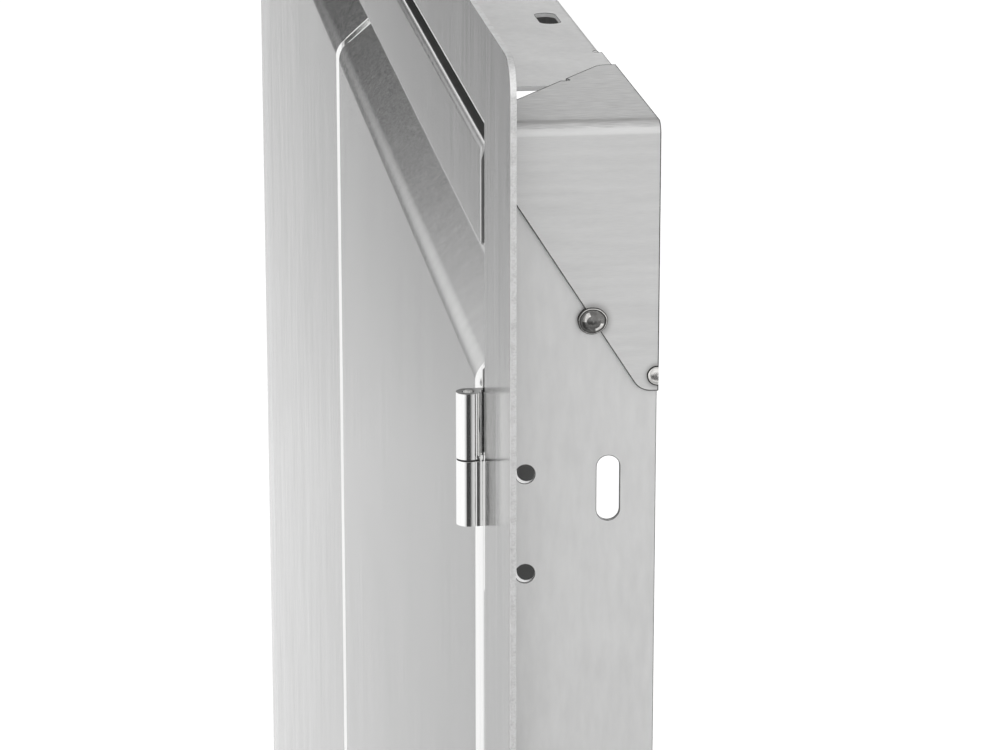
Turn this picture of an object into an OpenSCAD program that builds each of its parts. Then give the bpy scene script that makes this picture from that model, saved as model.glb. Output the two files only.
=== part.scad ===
/* [Frame] */
// Overall width of the face flange
frame_w = 1016; // [700:1:1200]
// Overall height of the face flange
frame_h = 711; // [620:1:800]
// Thickness of the face flange sheet
flange_t = 1.5; // [1.2:0.1:2]
// Width of the flange's flat face beside the doors
stile_w = 52.7; // [45:0.1:70]
// Height of the flange's flat face above and below the doors
rail_w = 25.2; // [25.2:0.1:26]
// Radius of the flange's four outer corners
corner_r = 9; // [4:0.5:14]
// Outer radius where the flange turns back into the opening
lip_bend_r = 2; // [1.8:0.1:2.5]
// How far the flange's inner lip reaches behind its back face
lip_depth = 12.5; // [11.5:0.1:13]

/* [Walls] */
// How far the flange stands out past the walls, all round
overhang = 20.3; // [20:0.1:20.4]
// Depth of the walls behind the flange
wall_depth = 37.5; // [34:0.1:45]
// Thickness of the wall sheets
wall_t = 1.2; // [1:0.1:1.5]
// Width of the side walls' welding foot
side_foot = 16; // [10:1:20]
// Depth of the stiffening return at the rear of the top and bottom walls
rear_return = 16; // [10:0.5:18]
// How far the top and bottom walls stop short of the side walls
wall_end_gap = 51.5; // [45:0.1:55]
// Distance of a side wall's slots from the frame's top and bottom edges
side_slot_inset = 112.2; // [108:0.1:126]
// Distance of the side slots behind the flange
side_slot_y = 25.6; // [20:0.1:28]
// Distance of the top and bottom slots from the middle
top_slot_x = 340.2; // [250:0.1:345]
// Distance of the top and bottom slots behind the flange
top_slot_y = 29.9; // [20:0.1:31]
// End-to-end length of a fixing slot
slot_len = 17; // [12:0.5:20]
// Width of a fixing slot
slot_w = 6; // [5:0.5:7]
// Diameter of the screwdriver holes beside each hinge
access_d = 5; // [4:0.5:6]

/* [Corner brackets] */
// Thickness of the corner bracket sheet
bracket_t = 0.9; // [0.8:0.1:1.2]
// Depth of a corner bracket behind the flange
bracket_depth = 37.8; // [37.5:0.1:45]
// Outer bend radius of a corner bracket
bracket_bend_r = 3.2; // [2.5:0.1:4]
// Length of the side leg at the flange
side_leg_front = 16; // [12:0.5:20]
// Length of the side leg at the rear
side_leg_rear = 67.7; // [60:0.1:72]
// Length of the top leg at the flange
top_leg_front = 21; // [12:0.5:22]
// Length of the top leg at the rear
top_leg_rear = 74; // [60:0.5:76]

/* [Doors] */
// Gap between the two doors
centre_gap = 8; // [3:0.5:12]
// Gap above and below a door
end_gap = 5.3; // [4:0.1:7]
// How far a door's face stands in front of the flange's face
door_proud = 1.2; // [0.5:0.1:1.5]
// Depth of a door from its face to its back
door_depth = 13.7; // [12:0.1:15]
// Thickness of the door sheets
door_t = 1.2; // [1:0.1:1.5]
// Outer radius of a door's folded edges
door_bend_r = 2; // [1.6:0.1:3]
// Height of the handle plate
handle_h = 26.5; // [20:0.1:35]
// Height of the finger opening under the handle plate
finger_h = 32.8; // [30:0.1:40]
// Angle at which the slope below the handle plate runs back
scoop_angle = 41; // [36:1:45]

/* [Hinges] */
// Outer radius of the hinge barrel, half the gap beside a door
knuckle_r = 3.15; // [3:0.05:3.2]
// Length of one hinge knuckle
knuckle_len = 17.75; // [14:0.05:20]
// Distance of the hinge joints from the frame's top and bottom edges
hinge_inset = 114.5; // [111.5:0.5:146.5]
// Distance of the hinge pin in front of the flange's face
pin_out = 3.7; // [3.6:0.1:4.5]
// Radius of the hinge pin
pin_r = 1.5; // [1.2:0.1:1.8]
// Thickness of the hinge leaves
leaf_t = 2; // [1.5:0.1:2]

/* [Hidden] */
$fn = 64;
e = 0.01;
half_w = frame_w / 2;
half_h = frame_h / 2;
// Outer faces of the walls, and the edges of the opening
wall_x = half_w - overhang;
wall_z = half_h - overhang;
open_x = half_w - stile_w - lip_bend_r;
open_z = half_h - rail_w - lip_bend_r;
// Heights of the hinge joints and of the side slots
hinge_z = half_h - hinge_inset;
side_slot_z = half_h - side_slot_inset;
// Side foot of the long walls, which fits above the flange's lip
rail_foot = wall_z - wall_t - open_z - flange_t - 0.8;
top_wall_half = wall_x - wall_end_gap;
side_wall_half = wall_z - 4.8;
wall_bend_r = 1.6;
// Relief hole where the rear return of the top and bottom walls ends
notch_x = top_slot_x + 50.8;
notch_r = 1.5;
// Relief cut at the ends of the flange's lips
lip_relief = 0.5;
// Corner brackets
bracket_x = wall_x + bracket_t;
bracket_z = wall_z + bracket_t;
tip_r = 5;
weld_notch_y = 21.5;
weld_notch_r = 1.6;
nugget_r = 3.4;
nugget_h = 2;
nugget_ball_r = 4;
rear_tack_r = 2.3;
// A door, in the frame's coordinates
face_y = -flange_t - door_proud;
back_y = face_y + door_depth;
hinge_edge = open_x - 2 * knuckle_r;
centre_edge = centre_gap / 2;
door_top = open_z - end_gap;
door_bottom = -door_top;
plate_y = -flange_t - 0.1;
plate_bend_r = 1.4;
plate_end_r = 0.7;
plate_bottom = door_top - handle_h;
scoop_z = plate_bottom - finger_h;
scoop_back_z = scoop_z + (door_depth - door_t) * tan(scoop_angle);
lip_w = 11;
hem_h = 8;
stiff_w = 44;
stiff_top = scoop_z - 16;
stiff_bottom = door_bottom + 18;
// Hinges, about each pin
pin_x = hinge_edge + knuckle_r;
pin_y = -flange_t - pin_out;
pin_run = 0.05;
washer_t = 0.3;
washer_gap = 0.05;
knuckle_gap = washer_t + 2 * washer_gap;
leaf_front = pin_out + 0.2;
leaf_back = pin_out + flange_t + lip_depth - 0.5;
leaf_h = 3 * knuckle_len;
leaf_corner_r = 2;
// Height above the joint of the sloping top of a door's leaf, at the pin
leaf_slope = scoop_z - hinge_z + pin_y - face_y - 1;
screw_y = 4.8;
screw_near = 6.6;
screw_far = 19.4;
screw_r = 2;
head_r = 3.6;
head_h = 2.2;
// Catches and buffers in the middle of the opening
catch_t = 1.5;
catch_half = 42;
bracket_screw_x = 24;
bracket_screw_y = top_slot_y - 6;
catch_drop = 38;
catch_y = back_y + 4.6;
magnet_x = 24;
magnet_w = 18;
magnet_h = 14;
magnet_z = door_top - 20;
magnet_t = 3.2;
pole_t = 1.2;
striker_w = 34;
striker_h = 20;
striker_t = 0.8;
rivet_r = 1.6;
buffer_x = 20;
buffer_r = 5;
stop_half = 34;
stop_rise = 22;

HINGE_ZS = [hinge_z, -hinge_z];

// A box between two corners
module span(low, high) {
  translate(low) cube([high[0] - low[0], high[1] - low[1], high[2] - low[2]]);
}

// Quarter ring of a sheet bend, with its centre at the origin and its corner towards -X -Y
module bend_2d(outer_r, t) {
  intersection() {
    difference() {
      circle(r = outer_r);
      circle(r = outer_r - t);
    }
    translate([-outer_r, -outer_r]) square(outer_r);
  }
}

// A rounded rectangle from four circles and two squares
module round_rect(w, h, r) {
  square([w - 2 * r, h], center = true);
  square([w, h - 2 * r], center = true);
  for (x = [-1, 1])
    for (y = [-1, 1])
      translate([x * (w / 2 - r), y * (h / 2 - r)]) circle(r = r);
}

// An obround hole, length along X
module obround(length, width) {
  square([length - width, width], center = true);
  for (s = [-1, 1])
    translate([s * (length - width) / 2, 0]) circle(d = width);
}

// Turns a drawing of the front, X across and Y up, into a slab from y0 to y1
module front_slab(y0, y1) {
  translate([0, y1, 0]) rotate([90, 0, 0]) linear_extrude(y1 - y0) children();
}

// Turns a drawing with depth across and height up into a bar from x0 to x1
module side_slab(x0, x1) {
  translate([x0, 0, 0]) rotate([90, 0, 90]) linear_extrude(x1 - x0) children();
}

module flip_x(yes) {
  if (yes) mirror([1, 0, 0]) children();
  else children();
}

module flip_z(yes) {
  if (yes) mirror([0, 0, 1]) children();
  else children();
}

// Inner edge of the flange beside the doors, drawn across the depth: the bend and the lip
module lip_bend_2d() {
  translate([lip_bend_r, lip_bend_r - flange_t]) bend_2d(lip_bend_r, flange_t);
}

module lip_web_2d() {
  translate([0, lip_bend_r - flange_t]) square([flange_t, lip_depth - lip_bend_r + flange_t]);
}

// One lip of the flange, bent back at the edge of the opening, up the side at +X.
// Its web stops short of the corners, which are cut open for bending.
module lip(half_len) {
  translate([0, 0, -half_len]) linear_extrude(2 * half_len) lip_bend_2d();
  translate([0, 0, -half_len + lip_relief])
    linear_extrude(2 * half_len - 2 * lip_relief) lip_web_2d();
}

// One-piece face flange with a lip on each side of the opening
module face_flange() {
  color("silver") {
    front_slab(-flange_t, 0)
      difference() {
        round_rect(frame_w, frame_h, corner_r);
        square([2 * (open_x + lip_bend_r), 2 * open_z], center = true);
        square([2 * open_x, 2 * (open_z + lip_bend_r)], center = true);
      }
    for (left = [false, true])
      flip_x(left) difference() {
        translate([open_x, 0, 0]) lip(open_z);
        for (z = HINGE_ZS)
          for (dz = [screw_near, -screw_far])
            translate([open_x - 1, screw_y, z + dz]) rotate([0, 90, 0])
              cylinder(r = screw_r, h = flange_t + 2);
      }
    for (low = [false, true])
      flip_z(low) translate([0, 0, open_z]) rotate([0, -90, 0]) lip(open_x);
    for (left = [false, true])
      for (low = [false, true])
        flip_x(left) flip_z(low)
          span([open_x, -flange_t, open_z],
            [open_x + lip_bend_r, lip_bend_r - flange_t, open_z + lip_bend_r]);
  }
}

// Bent angle of a wall: the foot lies on the flange, the web runs back
module wall_profile(foot) {
  translate([-wall_bend_r, wall_bend_r]) mirror([1, 0]) bend_2d(wall_bend_r, wall_t);
  translate([-wall_t, wall_bend_r]) square([wall_t, wall_depth - wall_bend_r]);
  translate([-foot, 0]) square([foot - wall_bend_r, wall_t]);
}

// The same with its rear edge bent in as a stiffening return
module stiff_profile(foot) {
  intersection() {
    wall_profile(foot);
    translate([-foot, 0]) square([foot, wall_depth - wall_bend_r]);
  }
  translate([-wall_bend_r, wall_depth - wall_bend_r]) rotate(180) bend_2d(wall_bend_r, wall_t);
  translate([-rear_return, wall_depth - wall_t]) square([rear_return - wall_bend_r, wall_t]);
}

// Right side wall with its fixing slots and the screwdriver holes of both hinges
module side_wall() {
  difference() {
    translate([wall_x, 0, -side_wall_half]) linear_extrude(2 * side_wall_half)
      wall_profile(side_foot);
    for (s = [-1, 1])
      side_slab(wall_x - 2 * wall_t, wall_x + wall_t)
        translate([side_slot_y, s * side_slot_z]) rotate(90) obround(slot_len, slot_w);
    for (z = HINGE_ZS)
      for (dz = [screw_near, -screw_far])
        translate([wall_x - 2 * wall_t, screw_y, z + dz])
          rotate([0, 90, 0]) cylinder(d = access_d, h = 3 * wall_t);
  }
}

module wall_right() { color("gainsboro") side_wall(); }
module wall_left() { color("gainsboro") flip_x(true) side_wall(); }

// Turns a wall's section into a bar of the top wall, from x0 to x1
module rail_bar(x0, x1) {
  translate([x0, 0, wall_z]) rotate([90, 0, 90]) linear_extrude(x1 - x0) mirror([1, -1]) children();
}

// Top wall with its fixing slots, and with a return at its rear between two relief holes
module rail_wall() {
  foot = rail_foot + wall_t;
  difference() {
    union() {
      rail_bar(-top_wall_half, -notch_x) wall_profile(foot);
      rail_bar(-notch_x, notch_x) stiff_profile(foot);
      rail_bar(notch_x, top_wall_half) wall_profile(foot);
    }
    for (s = [-1, 1]) {
      translate([s * top_slot_x, top_slot_y, wall_z - 2 * wall_t])
        linear_extrude(3 * wall_t) obround(slot_len, slot_w);
      translate([s * notch_x, wall_depth - notch_r / 2, wall_z - 2 * wall_t])
        cylinder(r = notch_r, h = 3 * wall_t);
      translate([s * bracket_screw_x, bracket_screw_y, wall_z - 2 * wall_t])
        cylinder(r = screw_r, h = 3 * wall_t);
    }
  }
}

module wall_top() { color("gainsboro") rail_wall(); }
module wall_bottom() { color("gainsboro") flip_z(true) rail_wall(); }

// Outline of one bracket leg: depth across, distance from the bend's outer corner up.
// The slanting edge ends in a round tip, and has a half-round notch for the weld.
module leg_outline(front, rear) {
  slope = (rear - front) / (bracket_depth - 4.5);
  turn = atan(slope);
  tangent = tip_r * tan(turn / 2);
  corner_u = (rear - front) / slope;
  centre_u = corner_u + tangent;
  difference() {
    intersection() {
      union() {
        polygon([
          [0, bracket_bend_r], [0, front],
          [corner_u - tangent * cos(turn), rear - tangent * sin(turn)],
          [centre_u, rear - tip_r], [centre_u, rear],
          [bracket_depth, rear], [bracket_depth, bracket_bend_r]
        ]);
        translate([centre_u, rear - tip_r]) circle(r = tip_r);
      }
      square([bracket_depth, rear]);
    }
    translate([weld_notch_y, front + slope * weld_notch_y]) circle(r = weld_notch_r);
  }
}

// Side leg of a corner bracket, which lies against the side wall
module side_leg() {
  side_slab(bracket_x - bracket_t, bracket_x)
    translate([0, bracket_z]) mirror([0, 1]) leg_outline(side_leg_front, side_leg_rear);
}

// Bent corner bracket that joins the top wall to the side wall
module corner_bracket() {
  translate([bracket_x - bracket_bend_r, 0, bracket_z - bracket_bend_r])
    rotate([-90, 0, 0]) linear_extrude(bracket_depth)
      mirror([1, 0]) bend_2d(bracket_bend_r, bracket_t);
  side_leg();
  translate([bracket_x, 0, bracket_z - bracket_t]) linear_extrude(bracket_t)
    rotate(90) leg_outline(top_leg_front, top_leg_rear);
}

module corner_bracket_top_right() { color("lightgray") corner_bracket(); }
module corner_bracket_top_left() { color("lightgray") flip_x(true) corner_bracket(); }
module corner_bracket_bottom_right() { color("lightgray") flip_z(true) corner_bracket(); }
module corner_bracket_bottom_left() {
  color("lightgray") flip_x(true) flip_z(true) corner_bracket();
}

// Weld beads of one corner: a dome over the side leg's notch, a bead on its rear tip,
// and a tack under the top leg at the end of the top wall
module corner_weld_set() {
  slope = (side_leg_rear - side_leg_front) / (bracket_depth - 4.5);
  weld_z = bracket_z - side_leg_front - slope * weld_notch_y;
  translate([bracket_x, weld_notch_y, weld_z]) rotate([0, 90, 0]) intersection() {
    cylinder(r = nugget_r, h = nugget_h);
    translate([0, 0, nugget_h - nugget_ball_r]) sphere(r = nugget_ball_r);
  }
  difference() {
    translate([wall_x, weld_notch_y, weld_z]) rotate([0, 90, 0])
      cylinder(r = nugget_r - 0.1, h = bracket_t);
    side_leg();
  }
  difference() {
    translate([bracket_x - bracket_t / 2, bracket_depth - 0.2, bracket_z - side_leg_rear + 3.3])
      sphere(r = rear_tack_r);
    span([0, -half_h, 0], [bracket_x, bracket_depth, half_h]);
  }
  intersection() {
    translate([top_wall_half, wall_depth - 8, wall_z]) sphere(r = 2);
    span([top_wall_half, 0, wall_z - 4], [top_wall_half + 4, wall_depth, wall_z]);
  }
}

module corner_welds() {
  color("dimgray")
    for (left = [false, true])
      for (low = [false, true])
        flip_x(left) flip_z(low) corner_weld_set($fn = 32);
}

// Hinge leaf plate: depth across, height up, with rounded back corners
module leaf_outline(bottom, top) {
  back_in = leaf_back - leaf_corner_r;
  translate([leaf_front, bottom]) square([back_in - leaf_front, top - bottom]);
  translate([leaf_front, bottom + leaf_corner_r])
    square([leaf_back - leaf_front, top - bottom - 2 * leaf_corner_r]);
  for (z = [bottom + leaf_corner_r, top - leaf_corner_r])
    translate([back_in, z]) circle(r = leaf_corner_r);
}

// One rolled knuckle with the web that joins it to its leaf, on the +X side of the pin
module knuckle(low, high, bore_r) {
  difference() {
    translate([0, 0, low]) linear_extrude(high - low) {
      circle(r = knuckle_r);
      translate([knuckle_r - leaf_t, 0]) square([leaf_t, leaf_front + e]);
    }
    translate([0, 0, low - 1]) cylinder(r = bore_r, h = high - low + 2);
  }
}

// Tapped screw holes of a leaf, at two heights
module leaf_holes(heights) {
  for (z = heights)
    translate([0, screw_y - pin_y, z]) rotate([0, 90, 0])
      cylinder(r = screw_r, h = 2 * knuckle_r);
}

// Frame's hinge leaf: the lower knuckle, with the plate against the flange's lip
module frame_leaf(z) {
  translate([pin_x, pin_y, z]) {
    knuckle(-knuckle_len, -knuckle_gap / 2, pin_r + e);
    difference() {
      side_slab(knuckle_r - leaf_t, knuckle_r) leaf_outline(-2 * knuckle_len, knuckle_len);
      leaf_holes([screw_near, -screw_far]);
    }
  }
}

// Door's hinge leaf: the upper knuckle, with the plate against the door's edge.
// Its front corner is cut off below the finger opening.
module door_leaf(z) {
  translate([pin_x, pin_y, z])
    mirror([1, 0, 0]) {
      knuckle(knuckle_gap / 2, knuckle_len, pin_r + pin_run);
      difference() {
        side_slab(knuckle_r - leaf_t, knuckle_r) difference() {
          leaf_outline(-knuckle_len, 2 * knuckle_len);
          polygon([
            [leaf_front - 1, leaf_slope + leaf_front - 1],
            [leaf_back + 1, leaf_slope + leaf_back + 1],
            [leaf_front - 1, leaf_slope + leaf_back + 1]
          ]);
        }
        leaf_holes([-screw_near, screw_far]);
      }
    }
}

module frame_hinge_leaf_top_right() { color("whitesmoke") frame_leaf(hinge_z); }
module frame_hinge_leaf_bottom_right() { color("whitesmoke") frame_leaf(-hinge_z); }
module frame_hinge_leaf_top_left() { color("whitesmoke") flip_x(true) frame_leaf(hinge_z); }
module frame_hinge_leaf_bottom_left() { color("whitesmoke") flip_x(true) frame_leaf(-hinge_z); }
module door_hinge_leaf_top_right() { color("whitesmoke") door_leaf(hinge_z); }
module door_hinge_leaf_bottom_right() { color("whitesmoke") door_leaf(-hinge_z); }
module door_hinge_leaf_top_left() { color("whitesmoke") flip_x(true) door_leaf(hinge_z); }
module door_hinge_leaf_bottom_left() { color("whitesmoke") flip_x(true) door_leaf(-hinge_z); }

// Pins, pressed into the lower knuckles, that the door's knuckles drop on to
module pin_set() {
  for (z = HINGE_ZS)
    translate([pin_x, pin_y, z - knuckle_len + 1]) cylinder(r = pin_r, h = 2 * knuckle_len - 2);
}

module hinge_pins_right() { color("dimgray") pin_set(); }
module hinge_pins_left() { color("dimgray") flip_x(true) pin_set(); }

// Thin washers between the knuckles
module hinge_washers() {
  color("gray")
    for (left = [false, true])
      for (z = HINGE_ZS)
        flip_x(left) translate([pin_x, pin_y, z - washer_t / 2]) difference() {
          cylinder(r = knuckle_r - 0.15, h = washer_t);
          translate([0, 0, -1]) cylinder(r = pin_r + pin_run, h = washer_t + 2);
        }
}

// Round-headed screw along +X, with its head's flat at the origin, a hex socket, and its
// shank through the sheet
module round_screw(length) {
  difference() {
    union() {
      intersection() {
        translate([head_r * 0.35, 0, 0]) sphere(r = head_r * 1.06);
        translate([-head_h, 0, 0]) rotate([0, 90, 0]) cylinder(r = head_r, h = head_h);
      }
      rotate([0, 90, 0]) cylinder(r = screw_r - e, h = length);
    }
    translate([-head_h - 1, 0, 0]) rotate([0, 90, 0]) cylinder(r = 1.4, h = 2.2, $fn = 6);
  }
}

// Screws from the wall channel through the lip into the frame's leaves
module frame_hinge_screws() {
  color("dimgray")
    for (left = [false, true])
      for (z = HINGE_ZS)
        for (dz = [screw_near, -screw_far])
          flip_x(left) translate([open_x + flange_t, screw_y, z + dz])
            mirror([1, 0, 0]) round_screw(flange_t + leaf_t);
}

// Sheet bracket under the top wall that carries the catches of both doors
module catch_bracket() {
  top = wall_z - wall_t;
  color("gainsboro") difference() {
    union() {
      side_slab(-catch_half, catch_half) {
        translate([catch_y + lip_bend_r, top - lip_bend_r]) mirror([0, 1])
          bend_2d(lip_bend_r, catch_t);
        translate([catch_y + lip_bend_r, top - catch_t])
          square([wall_depth - 6 - catch_y - lip_bend_r, catch_t]);
      }
      front_slab(catch_y, catch_y + catch_t)
        translate([0, top - lip_bend_r - (catch_drop - lip_bend_r) / 2])
          square([2 * catch_half, catch_drop - lip_bend_r], center = true);
    }
    for (s = [-1, 1])
      translate([s * bracket_screw_x, bracket_screw_y, top - 3 * catch_t])
        cylinder(r = screw_r, h = 4 * catch_t);
  }
}

// Magnet housings on the front of the catch bracket, one for each door
module catch_magnets() {
  color("saddlebrown")
    for (s = [-1, 1])
      translate([s * magnet_x, catch_y - magnet_t, magnet_z]) difference() {
        front_slab(0, magnet_t) round_rect(magnet_w, magnet_h, 2);
        for (z = [-1, 1])
          span([-magnet_w / 2 + 3, -1, z * 3 - pole_t / 2],
            [magnet_w / 2 - 3, magnet_t - 0.8, z * 3 + pole_t / 2]);
      }
}

// Steel pole plates set into the magnet housings, just proud of them
module catch_pole_plates() {
  color("gray")
    for (s = [-1, 1])
      for (z = [-1, 1])
        translate([s * magnet_x, catch_y - magnet_t, magnet_z])
          span([-magnet_w / 2 + 3, -0.2, z * 3 - pole_t / 2],
            [magnet_w / 2 - 3, magnet_t - 0.8, z * 3 + pole_t / 2]);
}

// Sheet bracket on the bottom wall that carries the buffers
module stop_bracket() {
  base = -wall_z + wall_t;
  color("gainsboro") difference() {
    union() {
      side_slab(-stop_half, stop_half) {
        translate([catch_y + lip_bend_r, base + lip_bend_r]) bend_2d(lip_bend_r, catch_t);
        translate([catch_y + lip_bend_r, base])
          square([wall_depth - 6 - catch_y - lip_bend_r, catch_t]);
      }
      front_slab(catch_y, catch_y + catch_t)
        translate([0, base + lip_bend_r + (stop_rise - lip_bend_r) / 2])
          square([2 * stop_half, stop_rise - lip_bend_r], center = true);
    }
    for (s = [-1, 1])
      translate([s * bracket_screw_x, bracket_screw_y, base - 2 * catch_t])
        cylinder(r = screw_r, h = 4 * catch_t);
  }
}

// Domed rubber buffers that the closed doors rest on
module rubber_buffers() {
  reach = catch_y - back_y - 0.3;
  color("black")
    for (s = [-1, 1])
      translate([s * buffer_x, catch_y, -wall_z + wall_t + stop_rise - buffer_r - 2])
        rotate([90, 0, 0]) intersection() {
          cylinder(r = buffer_r, h = reach);
          translate([0, 0, reach - 2 * buffer_r]) sphere(r = 2 * buffer_r);
        }
}

// Screws that hold both brackets, their heads outside the walls' inner faces
module bracket_screws() {
  color("dimgray")
    for (low = [false, true])
      for (s = [-1, 1])
        flip_z(low)
          translate([s * bracket_screw_x, bracket_screw_y, wall_z - wall_t - catch_t])
            rotate([0, -90, 0]) round_screw(catch_t + wall_t);
}

// Depth and height outline behind the door's front line: face, slope and recess back
module door_side_outline() {
  polygon([
    [face_y, door_bottom], [face_y, scoop_z],
    [back_y, scoop_z + door_depth * tan(scoop_angle)], [back_y, door_bottom]
  ]);
}

// The folded door skin: face, two edges, bottom edge, slope, recess back and lips
module door_skin() {
  inner = door_t;
  slant = door_t * (1 / cos(scoop_angle) - tan(scoop_angle));
  r_in = door_bend_r - door_t;
  side_slab(centre_edge + door_bend_r, hinge_edge - door_bend_r) {
    // Face with the bottom bend and edge
    translate([face_y, door_bottom + door_bend_r])
      square([door_t, scoop_z - door_bottom - door_bend_r]);
    translate([face_y + door_bend_r, door_bottom + door_bend_r]) bend_2d(door_bend_r, door_t);
    translate([face_y + door_bend_r, door_bottom])
      square([door_depth - door_bend_r, door_t]);
    translate([back_y - door_t, door_bottom]) square([door_t, lip_w]);
  }
  // Slope, recess back and its top lip, the full width of the door
  side_slab(centre_edge, hinge_edge) {
    polygon([
      [face_y, scoop_z], [back_y - door_t, scoop_back_z],
      [back_y, scoop_back_z - slant], [face_y + door_t, scoop_z - slant],
      [face_y, scoop_z - slant]
    ]);
    translate([back_y - door_t, scoop_back_z - slant])
      square([door_t, door_top - door_t - scoop_back_z + slant - e]);
  }
  side_slab(centre_edge + 2 * plate_end_r, hinge_edge - 2 * plate_end_r)
    translate([back_y - 8, door_top - 2 * door_t - e]) square([8, door_t]);
  // Both upright edges, folded back from the face and in again at the back
  for (s = [0, 1])
    translate([(centre_edge + hinge_edge) / 2, 0, 0]) flip_x(s == 1)
      translate([(centre_edge - hinge_edge) / 2, 0, 0]) {
        translate([0, 0, door_bottom + door_bend_r])
          linear_extrude(scoop_z - slant - door_bottom - door_bend_r)
            translate([door_bend_r, face_y + door_bend_r]) bend_2d(door_bend_r, door_t);
        side_slab(0, door_t) difference() {
          door_side_outline();
          translate([face_y - 1, door_bottom - 1])
            square([1 + door_bend_r, scoop_z - door_bottom + 1 - slant]);
          translate([face_y, scoop_z - slant - e]) rotate(scoop_angle) square([door_depth * 2, door_t]);
          translate([face_y - e, scoop_z - slant]) square([door_t, door_t * 2]);
        }
        span([door_t, back_y - door_t, door_bottom + lip_w],
          [lip_w, back_y, scoop_back_z - slant]);
      }
}

// Clearance holes for the hinge screws in a door's hinge-side edge
module door_screw_holes() {
  for (z = HINGE_ZS)
    for (dz = [-screw_near, screw_far])
      translate([hinge_edge - 2 * door_t, screw_y, z + dz]) rotate([0, 90, 0])
        cylinder(r = screw_r, h = 3 * door_t);
}

// The door skin with its screw holes
module drilled_door_skin() {
  difference() {
    door_skin();
    door_screw_holes();
  }
}

module door_skin_right() { color("silver") drilled_door_skin(); }
module door_skin_left() { color("silver") flip_x(true) drilled_door_skin(); }

// The handle plate: a pan with a folded top, folded ends and a hemmed lower edge
module handle_pan() {
  side_slab(centre_edge + plate_end_r, hinge_edge - plate_end_r) {
    translate([plate_y, plate_bottom + door_t])
      square([door_t, handle_h - plate_bend_r - door_t]);
    translate([plate_y + plate_bend_r, door_top - plate_bend_r]) mirror([0, 1])
      bend_2d(plate_bend_r, door_t);
    translate([plate_y + plate_bend_r, door_top - door_t])
      square([back_y - plate_y - plate_bend_r, door_t]);
    // Hem, folded flat behind the plate
    translate([plate_y + door_t, plate_bottom + door_t]) intersection() {
      circle(r = door_t);
      translate([-door_t, -door_t]) square([2 * door_t, door_t]);
    }
    translate([plate_y + door_t, plate_bottom + door_t]) square([door_t, hem_h - door_t]);
  }
  for (s = [0, 1])
    translate([(centre_edge + hinge_edge) / 2, 0, 0]) flip_x(s == 1)
      translate([(centre_edge - hinge_edge) / 2, 0, 0]) {
        side_slab(0, plate_end_r) {
          translate([plate_y + plate_end_r, plate_bottom])
            square([back_y - door_t - e - plate_y - plate_end_r, handle_h - door_t - e]);
        }
        translate([plate_end_r, plate_y + plate_end_r, plate_bottom + door_t])
          intersection() {
            cylinder(r = plate_end_r, h = handle_h - plate_bend_r - door_t);
            translate([-1, -1, 0]) cube([1, 1, handle_h]);
          }
      }
}

module handle_pan_right() { color("silver") handle_pan(); }
module handle_pan_left() { color("silver") flip_x(true) handle_pan(); }

// Upright hat section welded behind the face
module door_stiffener() {
  mid = (centre_edge + hinge_edge) / 2;
  depth = door_depth - 2 * door_t - 1.5;
  y0 = face_y + door_t;
  translate([mid, 0, stiff_bottom]) linear_extrude(stiff_top - stiff_bottom) {
    for (s = [0, 1])
      mirror([s, 0]) {
        translate([stiff_w / 4, y0]) square([stiff_w / 4, door_t]);
        translate([stiff_w / 4, y0]) square([door_t, depth]);
      }
    translate([-stiff_w / 4, y0 + depth - door_t]) square([stiff_w / 2, door_t]);
  }
}

module door_stiffener_right() { color("gainsboro") door_stiffener(); }
module door_stiffener_left() { color("gainsboro") flip_x(true) door_stiffener(); }

// Screws from inside the door's edge into its hinge leaves
module door_screw_set() {
  for (z = HINGE_ZS)
    for (dz = [-screw_near, screw_far])
      translate([hinge_edge - door_t, screw_y, z + dz]) round_screw(door_t + leaf_t);
}

module door_hinge_screws_right() { color("dimgray") door_screw_set(); }
module door_hinge_screws_left() { color("dimgray") flip_x(true) door_screw_set(); }

// Steel striker behind the recess, opposite the magnet, with two rivets
module striker() {
  translate([0, 0, magnet_z]) front_slab(back_y, back_y + striker_t)
    difference() {
      translate([magnet_x, 0]) round_rect(striker_w, striker_h, 3);
      for (s = [-1, 1])
        translate([magnet_x + s * striker_w * 0.38, 0]) circle(r = rivet_r);
    }
}

module striker_rivets() {
  for (s = [-1, 1])
    translate([magnet_x + s * striker_w * 0.38, back_y, magnet_z]) rotate([-90, 0, 0]) {
      cylinder(r = rivet_r - e, h = striker_t);
      translate([0, 0, striker_t]) intersection() {
        cylinder(r = 2 * rivet_r, h = 0.7);
        translate([0, 0, -4 * rivet_r + 0.9]) sphere(r = 4 * rivet_r);
      }
    }
}

module striker_right() { color("gray") striker(); }
module striker_left() { color("gray") flip_x(true) striker(); }
module striker_rivets_right() { color("dimgray") striker_rivets(); }
module striker_rivets_left() { color("dimgray") flip_x(true) striker_rivets(); }

face_flange();
wall_right();
wall_left();
wall_top();
wall_bottom();
corner_bracket_top_right();
corner_bracket_top_left();
corner_bracket_bottom_right();
corner_bracket_bottom_left();
corner_welds();
frame_hinge_leaf_top_right();
frame_hinge_leaf_bottom_right();
frame_hinge_leaf_top_left();
frame_hinge_leaf_bottom_left();
hinge_pins_right();
hinge_pins_left();
hinge_washers();
frame_hinge_screws();
catch_bracket();
catch_magnets();
catch_pole_plates();
stop_bracket();
rubber_buffers();
bracket_screws();
door_skin_right();
door_skin_left();
handle_pan_right();
handle_pan_left();
door_stiffener_right();
door_stiffener_left();
door_hinge_leaf_top_right();
door_hinge_leaf_bottom_right();
door_hinge_leaf_top_left();
door_hinge_leaf_bottom_left();
door_hinge_screws_right();
door_hinge_screws_left();
striker_right();
striker_left();
striker_rivets_right();
striker_rivets_left();
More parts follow.
